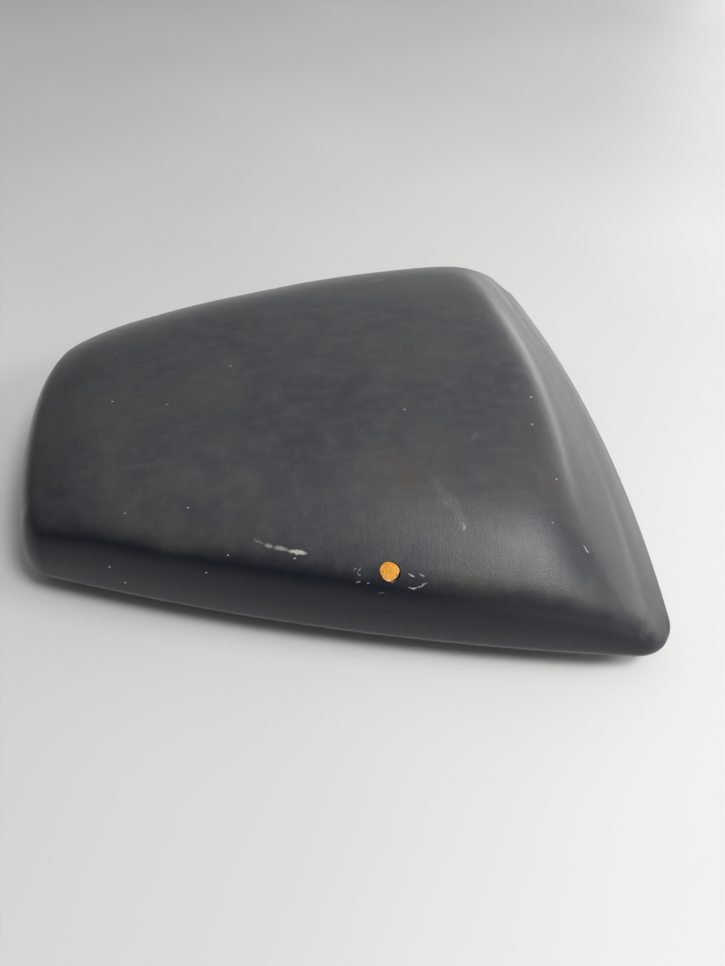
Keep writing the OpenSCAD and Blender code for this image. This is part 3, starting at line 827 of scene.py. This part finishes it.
# %% Relief of the vinyl, with the marks cut in
pebble_h, pore_h, crease_h, smudge_h, scratch_h = 0.03 * mm, 0.02 * mm, 0.05 * mm, 0.04 * mm, -0.12 * mm
skin_bump = bump(tree, pebble, pebble_h)
skin_bump = bump(tree, pores, pore_h, skin_bump)
skin_bump = bump(tree, creases, crease_h, skin_bump)
skin_bump = bump(tree, smudges, smudge_h, skin_bump)
skin_bump = bump(tree, scratched, scratch_h, skin_bump)
tree.links.new(skin_bump, shader.inputs["Normal"])
skin.data.materials.clear()
skin.data.materials.append(vinyl)
print("nodes of the whole vinyl:", len(tree.nodes))

# %% [markdown]
# Seat foam is open-cell polyurethane. Fresh foam is cream, and light and air turn it orange-yellow.
# Its cells are well under a millimetre, so up close it looks like fine bread. They are drawn at 0.7 mm,
# a little coarser than life, so that they still show.

# %% Polyurethane foam
open_cell_w, tone_w, cell_depth = 0.7 * mm, 3 * mm, 0.25 * mm
puff, tree, shader, coords = new_material("open_cell_polyurethane_foam")
cells = add(tree, "ShaderNodeTexVoronoi", {"Vector": coords, "Scale": 1 / open_cell_w}).outputs["Distance"]
tone = grain(tree, coords, tone_w, detail=4)
shade = ramp(tree, tone, [(0.3, "#e39d3c"), (0.55, "#eda747"), (0.75, "#f3b55c")])
# The paler rim colour is a painted highlight on the lower edge of the torn foam, where light reaches the
# cells.
rim_highlight = add(tree, "ShaderNodeAttribute", attribute_name="painted_rim_highlight").outputs["Fac"]
shade = mix(tree, rim_highlight, shade, colour("#f2cba4"))
# The hollows of the cells are darkened a little: painted shade in the pits.
painted_pit_shade = between(tree, cells, 0.1, 0.5, 0.9, 1.0)
shaded_in_pits = add(tree, "ShaderNodeVectorMath", {0: shade, "Scale": painted_pit_shade}, operation="SCALE").outputs["Vector"]
tree.links.new(shaded_in_pits, shader.inputs["Base Color"])
shader.inputs["Roughness"].default_value = 0.95
shader.inputs["Specular IOR Level"].default_value = 0.2
shader.inputs["Subsurface Weight"].default_value = 0.25
shader.inputs["Subsurface Radius"].default_value = (1.5 * mm, 0.8 * mm, 0.4 * mm)
shader.inputs["Subsurface Scale"].default_value = 1.0
tree.links.new(bump(tree, cells, cell_depth), shader.inputs["Normal"])
for piece in (foam, cap):
    piece.data.materials.clear()
    piece.data.materials.append(puff)
print("foam cells:", open_cell_w / mm, "mm")

# %% [markdown]
# The pan is injection-moulded polypropylene, black, with the even spark-eroded texture of its mould
# and a dull shine. The texture is drawn at 0.8 mm, coarser than life, so that it still shows.

# %% Moulded polypropylene of the pan
spark_w, spark_h, flow_w = 0.8 * mm, 0.08 * mm, 60 * mm
plastic, tree, shader, coords = new_material("moulded_polypropylene")
spark = grain(tree, coords, spark_w, detail=4)
flow = grain(tree, coords, flow_w, detail=3)
tree.links.new(ramp(tree, flow, [(0.35, "#1c1d1f"), (0.65, "#26272a")]), shader.inputs["Base Color"])
tree.links.new(ramp(tree, flow, [(0.3, 0.42), (0.7, 0.58)]), shader.inputs["Roughness"])
shader.inputs["IOR"].default_value = 1.49
tree.links.new(bump(tree, spark, spark_h), shader.inputs["Normal"])
print("spark texture:", spark_w / mm, "mm")

# %% [markdown]
# The tongue and the striker plate are pressed from cold-rolled sheet and zinc plated. The screws,
# washers, the bent rod and the staples are plated too, but brighter. Zinc passivate has a faint
# yellow-blue tint and a cloudy crystal pattern. The threaded inserts are turned brass, left bare.

# %% Metals
haze_w, haze_h, crystal_share = 6 * mm, 0.02 * mm, 0.25


def metal_finish(name, dark_hex, light_hex, crystal, low_rough, high_rough):
    """A metal's finish; crystal is the size of its crystal pattern in metres."""
    metal, tree, shader, coords = new_material(name)
    facets = add(tree, "ShaderNodeTexVoronoi", {"Vector": coords, "Scale": 1 / crystal}).outputs["Color"]
    haze = grain(tree, coords, haze_w, detail=5)
    mixed = add(tree, "ShaderNodeMix", {"Factor": crystal_share, "A": haze, "B": facets}, data_type="FLOAT")
    blend = mixed.outputs["Result"]
    tree.links.new(ramp(tree, blend, [(0.3, dark_hex), (0.7, light_hex)]), shader.inputs["Base Color"])
    tree.links.new(ramp(tree, haze, [(0.3, low_rough), (0.7, high_rough)]), shader.inputs["Roughness"])
    shader.inputs["Metallic"].default_value = 1.0
    tree.links.new(bump(tree, haze, haze_h), shader.inputs["Normal"])
    return metal


pressed = metal_finish("zinc_plated_pressed_sheet", "#8d8f90", "#b5b7b6", 2.2 * mm, 0.32, 0.5)
bright = metal_finish("bright_zinc_plate", "#a9a79d", "#d3d1c6", 1.2 * mm, 0.2, 0.38)
brass = metal_finish("turned_brass", "#a8863f", "#cdab5f", 1.0 * mm, 0.25, 0.4)
staple_steel = metal_finish("galvanised_staple_wire", "#9b9d9e", "#c3c5c6", 1.5 * mm, 0.28, 0.45)
print("metals:", pressed.name, bright.name, brass.name, staple_steel.name)

# %% [markdown]
# The buffers are moulded natural rubber, matt black with a patchy pale bloom.

# %% Rubber
bloom_w, bloom_h = 5 * mm, 0.1 * mm
rubber, tree, shader, coords = new_material("moulded_black_rubber")
bloom = grain(tree, coords, bloom_w, detail=6, roughness=0.7)
tree.links.new(ramp(tree, bloom, [(0.4, "#141415"), (0.75, "#2c2b2a")]), shader.inputs["Base Color"])
shader.inputs["Roughness"].default_value = 0.78
tree.links.new(bump(tree, bloom, bloom_h), shader.inputs["Normal"])
print("bloom patches:", bloom_w / mm, "mm")

# %% [markdown]
# The rigid solids already have their true shape, so they stay, and each one only gets its finish.
# Their meshes have hard edges, which is right for pressed and moulded parts.

# %% Dress the solids
finishes = {"pan": plastic, "staple_wire": staple_steel, "pressed_steel": pressed,
            "plated_steel": bright, "brass_insert": brass, "buffer_rubber": rubber,
            "skin": vinyl, "foam": puff}
slot_of = {part["node"]: part["material_slot"] for part in frame["record"]["subparts"]}
for name, obj in nodes.items():
    obj.data.materials.clear()
    obj.data.materials.append(finishes[slot_of[name]])
print("dressed:", ", ".join(sorted(nodes)))

# %% [markdown]
# The skin and the foam stand in for their plain solids, and every piece rides on the one body.

# %% Pieces tied to the frame
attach(skin, "root")
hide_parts("cover_skin")
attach(foam, "root")
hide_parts("foam_pad")
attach(cap, "root")
print("pieces tied:", skin.name, foam.name, cap.name)
